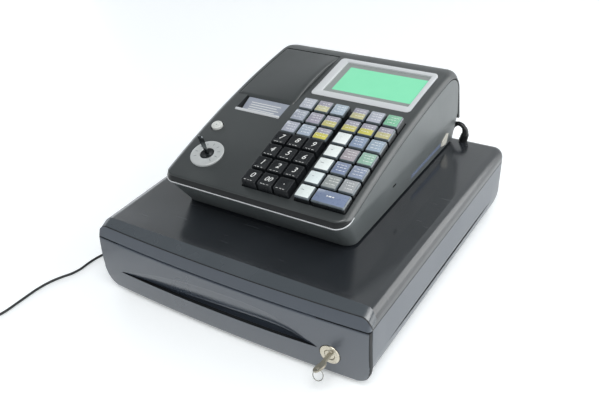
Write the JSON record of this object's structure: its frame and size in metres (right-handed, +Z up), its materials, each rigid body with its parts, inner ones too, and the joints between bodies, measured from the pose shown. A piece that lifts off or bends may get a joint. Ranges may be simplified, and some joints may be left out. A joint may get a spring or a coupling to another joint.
{
  "type": "ticket register",
  "caption": "Small electronic ticket register with keyboard, receipt printer and tilted display, standing on its own cash drawer, with lock, keys and power cord.",
  "frame": {"origin": "middle of the drawer's footprint, at the height of the feet's undersides, counted with the lock's key", "axes": "+Z up, -Y is the front where the drawer opens, +X to the right of someone at the keyboard"},
  "size_m": [0.5081, 0.5345, 0.1817],
  "materials": {
    "housing": "satin charcoal",
    "tray": "satin charcoal",
    "insert": "moulded black",
    "shell": "satin dark grey",
    "black": "matte",
    "nickel": "nickel plated",
    "steel": "worn steel",
    "silver": "silver paint",
    "screen": "clear window over a green screen",
    "button_white": "satin white",
    "paper": "thermal paper",
    "digit_key": "black key",
    "function_key": "clear cap over a label",
    "cord": "soft black sheath"
  },
  "bodies": {
    "base": {"drawer_cover": "housing", "drawer_base": "housing", "lower_case": "shell", "upper_case": "shell", "printer_unit": "black", "display_bezel": "silver", "display_panel": "screen", "drawer_cable": "cord", "power_cord": "cord", "cord_coil": "cord", "power_plug": "cord"},
    "drawer": {"drawer_tray": "tray", "till_insert": "insert", "drawer_lock": "nickel"},
    "drawer_key": {"drawer_key": "steel"},
    "printer_cover": {"printer_cover": "shell"},
    "paper_roll": {"paper_roll": "paper"},
    "mode_key": {"mode_key": "steel"},
    "feed_button": {"feed_button": "button_white"},
    "key_a1": {"key_a1": "function_key"},
    "key_a2": {"key_a2": "function_key"},
    "key_a3": {"key_a3": "function_key"},
    "key_a4": {"key_a4": "function_key"},
    "key_a5": {"key_a5": "function_key"},
    "key_a6": {"key_a6": "function_key"},
    "key_b1": {"key_b1": "function_key"},
    "key_b2": {"key_b2": "function_key"},
    "key_b3": {"key_b3": "function_key"},
    "key_b4": {"key_b4": "function_key"},
    "key_b5": {"key_b5": "function_key"},
    "key_b6": {"key_b6": "function_key"},
    "key_c1": {"key_c1": "function_key"},
    "key_c2": {"key_c2": "function_key"},
    "key_c3": {"key_c3": "function_key"},
    "key_c4": {"key_c4": "function_key"},
    "key_c5": {"key_c5": "function_key"},
    "key_c6": {"key_c6": "function_key"},
    "digit_7": {"digit_7": "digit_key"},
    "digit_8": {"digit_8": "digit_key"},
    "digit_9": {"digit_9": "digit_key"},
    "key_d4": {"key_d4": "function_key"},
    "key_d5": {"key_d5": "function_key"},
    "key_d6": {"key_d6": "function_key"},
    "digit_4": {"digit_4": "digit_key"},
    "digit_5": {"digit_5": "digit_key"},
    "digit_6": {"digit_6": "digit_key"},
    "key_e4": {"key_e4": "function_key"},
    "key_e5": {"key_e5": "function_key"},
    "key_e6": {"key_e6": "function_key"},
    "digit_1": {"digit_1": "digit_key"},
    "digit_2": {"digit_2": "digit_key"},
    "digit_3": {"digit_3": "digit_key"},
    "key_f4": {"key_f4": "function_key"},
    "key_f5": {"key_f5": "function_key"},
    "key_f6": {"key_f6": "function_key"},
    "digit_0": {"digit_0": "digit_key"},
    "digit_00": {"digit_00": "digit_key"},
    "digit_point": {"digit_point": "digit_key"},
    "key_g4": {"key_g4": "function_key"},
    "key_total": {"key_total": "function_key"}
  },
  "joints": [
    {"name": "drawer_slide", "type": "slide", "parent": "base", "child": "drawer", "axis": [0, -1, 0], "range_m": [0, 0.24]},
    {"name": "drawer_key_turn", "type": "hinge", "parent": "drawer", "child": "drawer_key", "pos_m": [0.1242, -0.15599, 0.03], "axis": [0, 1, 0], "range_deg": [0, 90]},
    {"name": "printer_cover_hinge", "type": "hinge", "parent": "base", "child": "printer_cover", "pos_m": [-0.06475, 0.14011, 0.17783], "axis": [-1, 0, 0], "range_deg": [0, 95]},
    {"name": "mode_key_turn", "type": "hinge", "parent": "base", "child": "mode_key", "pos_m": [-0.0758, -0.05899, 0.14133], "axis": [0, -0.2696, 0.963], "range_deg": [-60, 120]},
    {"name": "paper_roll_spin", "type": "hinge", "parent": "base", "child": "paper_roll", "pos_m": [-0.06, 0.08801, 0.138], "axis": [1, 0, 0], "continuous": true},
    {"name": "feed_button_press", "type": "slide", "parent": "base", "child": "feed_button", "axis": [0, 0.2696, -0.963], "range_m": [0, 0.0015], "stiffness_N_per_m": 400, "springref_m": -0.001},
    {"name": "key_a1_press", "type": "slide", "parent": "base", "child": "key_a1", "axis": [0, 0.2696, -0.963], "range_m": [0, 0.003], "stiffness_N_per_m": 200, "springref_m": -0.0015},
    {"name": "key_a2_press", "type": "slide", "parent": "base", "child": "key_a2", "axis": [0, 0.2696, -0.963], "range_m": [0, 0.003], "stiffness_N_per_m": 200, "springref_m": -0.0015},
    {"name": "key_a3_press", "type": "slide", "parent": "base", "child": "key_a3", "axis": [0, 0.2696, -0.963], "range_m": [0, 0.003], "stiffness_N_per_m": 200, "springref_m": -0.0015},
    {"name": "key_a4_press", "type": "slide", "parent": "base", "child": "key_a4", "axis": [0, 0.2696, -0.963], "range_m": [0, 0.003], "stiffness_N_per_m": 200, "springref_m": -0.0015},
    {"name": "key_a5_press", "type": "slide", "parent": "base", "child": "key_a5", "axis": [0, 0.2696, -0.963], "range_m": [0, 0.003], "stiffness_N_per_m": 200, "springref_m": -0.0015},
    {"name": "key_a6_press", "type": "slide", "parent": "base", "child": "key_a6", "axis": [0, 0.2696, -0.963], "range_m": [0, 0.003], "stiffness_N_per_m": 200, "springref_m": -0.0015},
    {"name": "key_b1_press", "type": "slide", "parent": "base", "child": "key_b1", "axis": [0, 0.2696, -0.963], "range_m": [0, 0.003], "stiffness_N_per_m": 200, "springref_m": -0.0015},
    {"name": "key_b2_press", "type": "slide", "parent": "base", "child": "key_b2", "axis": [0, 0.2696, -0.963], "range_m": [0, 0.003], "stiffness_N_per_m": 200, "springref_m": -0.0015},
    {"name": "key_b3_press", "type": "slide", "parent": "base", "child": "key_b3", "axis": [0, 0.2696, -0.963], "range_m": [0, 0.003], "stiffness_N_per_m": 200, "springref_m": -0.0015},
    {"name": "key_b4_press", "type": "slide", "parent": "base", "child": "key_b4", "axis": [0, 0.2696, -0.963], "range_m": [0, 0.003], "stiffness_N_per_m": 200, "springref_m": -0.0015},
    {"name": "key_b5_press", "type": "slide", "parent": "base", "child": "key_b5", "axis": [0, 0.2696, -0.963], "range_m": [0, 0.003], "stiffness_N_per_m": 200, "springref_m": -0.0015},
    {"name": "key_b6_press", "type": "slide", "parent": "base", "child": "key_b6", "axis": [0, 0.2696, -0.963], "range_m": [0, 0.003], "stiffness_N_per_m": 200, "springref_m": -0.0015},
    {"name": "key_c1_press", "type": "slide", "parent": "base", "child": "key_c1", "axis": [0, 0.2696, -0.963], "range_m": [0, 0.003], "stiffness_N_per_m": 200, "springref_m": -0.0015},
    {"name": "key_c2_press", "type": "slide", "parent": "base", "child": "key_c2", "axis": [0, 0.2696, -0.963], "range_m": [0, 0.003], "stiffness_N_per_m": 200, "springref_m": -0.0015},
    {"name": "key_c3_press", "type": "slide", "parent": "base", "child": "key_c3", "axis": [0, 0.2696, -0.963], "range_m": [0, 0.003], "stiffness_N_per_m": 200, "springref_m": -0.0015},
    {"name": "key_c4_press", "type": "slide", "parent": "base", "child": "key_c4", "axis": [0, 0.2696, -0.963], "range_m": [0, 0.003], "stiffness_N_per_m": 200, "springref_m": -0.0015},
    {"name": "key_c5_press", "type": "slide", "parent": "base", "child": "key_c5", "axis": [0, 0.2696, -0.963], "range_m": [0, 0.003], "stiffness_N_per_m": 200, "springref_m": -0.0015},
    {"name": "key_c6_press", "type": "slide", "parent": "base", "child": "key_c6", "axis": [0, 0.2696, -0.963], "range_m": [0, 0.003], "stiffness_N_per_m": 200, "springref_m": -0.0015},
    {"name": "digit_7_press", "type": "slide", "parent": "base", "child": "digit_7", "axis": [0, 0.2696, -0.963], "range_m": [0, 0.003], "stiffness_N_per_m": 200, "springref_m": -0.0015},
    {"name": "digit_8_press", "type": "slide", "parent": "base", "child": "digit_8", "axis": [0, 0.2696, -0.963], "range_m": [0, 0.003], "stiffness_N_per_m": 200, "springref_m": -0.0015},
    {"name": "digit_9_press", "type": "slide", "parent": "base", "child": "digit_9", "axis": [0, 0.2696, -0.963], "range_m": [0, 0.003], "stiffness_N_per_m": 200, "springref_m": -0.0015},
    {"name": "key_d4_press", "type": "slide", "parent": "base", "child": "key_d4", "axis": [0, 0.2696, -0.963], "range_m": [0, 0.003], "stiffness_N_per_m": 200, "springref_m": -0.0015},
    {"name": "key_d5_press", "type": "slide", "parent": "base", "child": "key_d5", "axis": [0, 0.2696, -0.963], "range_m": [0, 0.003], "stiffness_N_per_m": 200, "springref_m": -0.0015},
    {"name": "key_d6_press", "type": "slide", "parent": "base", "child": "key_d6", "axis": [0, 0.2696, -0.963], "range_m": [0, 0.003], "stiffness_N_per_m": 200, "springref_m": -0.0015},
    {"name": "digit_4_press", "type": "slide", "parent": "base", "child": "digit_4", "axis": [0, 0.2696, -0.963], "range_m": [0, 0.003], "stiffness_N_per_m": 200, "springref_m": -0.0015},
    {"name": "digit_5_press", "type": "slide", "parent": "base", "child": "digit_5", "axis": [0, 0.2696, -0.963], "range_m": [0, 0.003], "stiffness_N_per_m": 200, "springref_m": -0.0015},
    {"name": "digit_6_press", "type": "slide", "parent": "base", "child": "digit_6", "axis": [0, 0.2696, -0.963], "range_m": [0, 0.003], "stiffness_N_per_m": 200, "springref_m": -0.0015},
    {"name": "key_e4_press", "type": "slide", "parent": "base", "child": "key_e4", "axis": [0, 0.2696, -0.963], "range_m": [0, 0.003], "stiffness_N_per_m": 200, "springref_m": -0.0015},
    {"name": "key_e5_press", "type": "slide", "parent": "base", "child": "key_e5", "axis": [0, 0.2696, -0.963], "range_m": [0, 0.003], "stiffness_N_per_m": 200, "springref_m": -0.0015},
    {"name": "key_e6_press", "type": "slide", "parent": "base", "child": "key_e6", "axis": [0, 0.2696, -0.963], "range_m": [0, 0.003], "stiffness_N_per_m": 200, "springref_m": -0.0015},
    {"name": "digit_1_press", "type": "slide", "parent": "base", "child": "digit_1", "axis": [0, 0.2696, -0.963], "range_m": [0, 0.003], "stiffness_N_per_m": 200, "springref_m": -0.0015},
    {"name": "digit_2_press", "type": "slide", "parent": "base", "child": "digit_2", "axis": [0, 0.2696, -0.963], "range_m": [0, 0.003], "stiffness_N_per_m": 200, "springref_m": -0.0015},
    {"name": "digit_3_press", "type": "slide", "parent": "base", "child": "digit_3", "axis": [0, 0.2696, -0.963], "range_m": [0, 0.003], "stiffness_N_per_m": 200, "springref_m": -0.0015},
    {"name": "key_f4_press", "type": "slide", "parent": "base", "child": "key_f4", "axis": [0, 0.2696, -0.963], "range_m": [0, 0.003], "stiffness_N_per_m": 200, "springref_m": -0.0015},
    {"name": "key_f5_press", "type": "slide", "parent": "base", "child": "key_f5", "axis": [0, 0.2696, -0.963], "range_m": [0, 0.003], "stiffness_N_per_m": 200, "springref_m": -0.0015},
    {"name": "key_f6_press", "type": "slide", "parent": "base", "child": "key_f6", "axis": [0, 0.2696, -0.963], "range_m": [0, 0.003], "stiffness_N_per_m": 200, "springref_m": -0.0015},
    {"name": "digit_0_press", "type": "slide", "parent": "base", "child": "digit_0", "axis": [0, 0.2696, -0.963], "range_m": [0, 0.003], "stiffness_N_per_m": 200, "springref_m": -0.0015},
    {"name": "digit_00_press", "type": "slide", "parent": "base", "child": "digit_00", "axis": [0, 0.2696, -0.963], "range_m": [0, 0.003], "stiffness_N_per_m": 200, "springref_m": -0.0015},
    {"name": "digit_point_press", "type": "slide", "parent": "base", "child": "digit_point", "axis": [0, 0.2696, -0.963], "range_m": [0, 0.003], "stiffness_N_per_m": 200, "springref_m": -0.0015},
    {"name": "key_g4_press", "type": "slide", "parent": "base", "child": "key_g4", "axis": [0, 0.2696, -0.963], "range_m": [0, 0.003], "stiffness_N_per_m": 200, "springref_m": -0.0015},
    {"name": "key_total_press", "type": "slide", "parent": "base", "child": "key_total", "axis": [0, 0.2696, -0.963], "range_m": [0, 0.003], "stiffness_N_per_m": 200, "springref_m": -0.0015}
  ]
}
